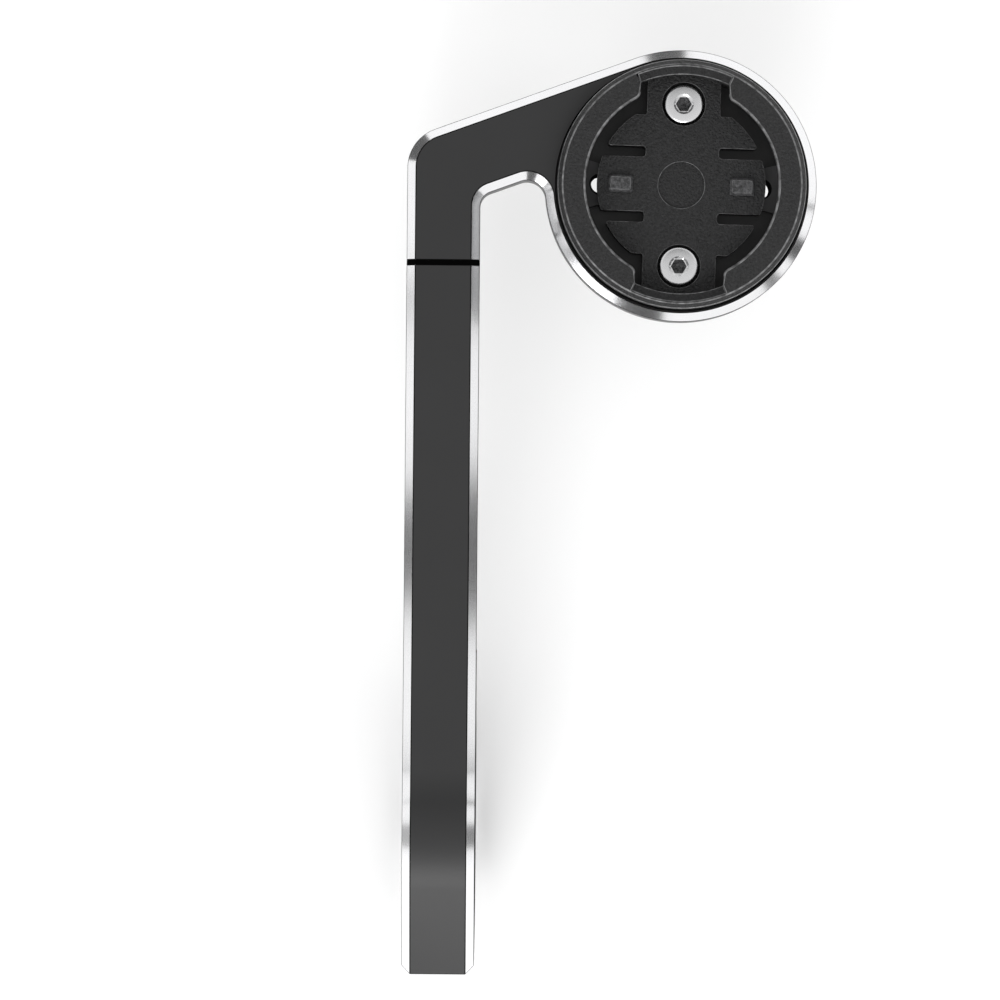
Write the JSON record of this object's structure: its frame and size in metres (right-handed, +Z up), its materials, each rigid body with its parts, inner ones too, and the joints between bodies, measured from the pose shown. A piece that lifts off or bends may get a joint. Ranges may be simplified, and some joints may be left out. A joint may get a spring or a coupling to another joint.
{
  "type": "bike computer mount",
  "caption": "Out-front handlebar mount for a bike computer: a long slim arm, a hinged bar clamp and a side arm that swivels and carries a round quarter-turn socket.",
  "frame": {"origin": "on the handlebar's axis, at the middle of the clamp's width", "axes": "+X along the handlebar towards the side that the side arm reaches to, +Y forward along the long arm, +Z up, away from the arm's flat top"},
  "size_m": [0.0594, 0.1349, 0.0436],
  "materials": {
    "black_anodised": "satin black anodised, with edges cut bright after anodising",
    "moulded_plastic": "black moulded plastic with a fine grain",
    "stainless": "plain stainless steel, turned heads",
    "lining_rubber": "thin black rubber",
    "gasket_rubber": "thin matt black sheet"
  },
  "bodies": {
    "long_arm": {"main_arm": "black_anodised", "clamp_hinge_pin": "stainless", "clamp_pad_upper": "lining_rubber", "joint_gasket": "gasket_rubber", "swivel_screw": "stainless", "swivel_washer": "stainless"},
    "strap": {"clamp_strap": "black_anodised", "clamp_bolt": "stainless", "clamp_washer": "stainless", "clamp_pad_lower": "lining_rubber"},
    "side_arm": {"head_arm": "black_anodised", "quarter_turn_puck": "moulded_plastic", "puck_screw_front": "stainless", "puck_screw_rear": "stainless"}
  },
  "joints": [
    {"name": "strap_hinge", "type": "hinge", "parent": "long_arm", "child": "strap", "pos_m": [0, -0.0187, 0.00235], "axis": [-1, 0, 0], "range_deg": [0, 90]},
    {"name": "side_arm_swivel", "type": "hinge", "parent": "long_arm", "child": "side_arm", "pos_m": [0, 0.0887, 0.01483], "axis": [0, 1, 0], "continuous": true}
  ]
}
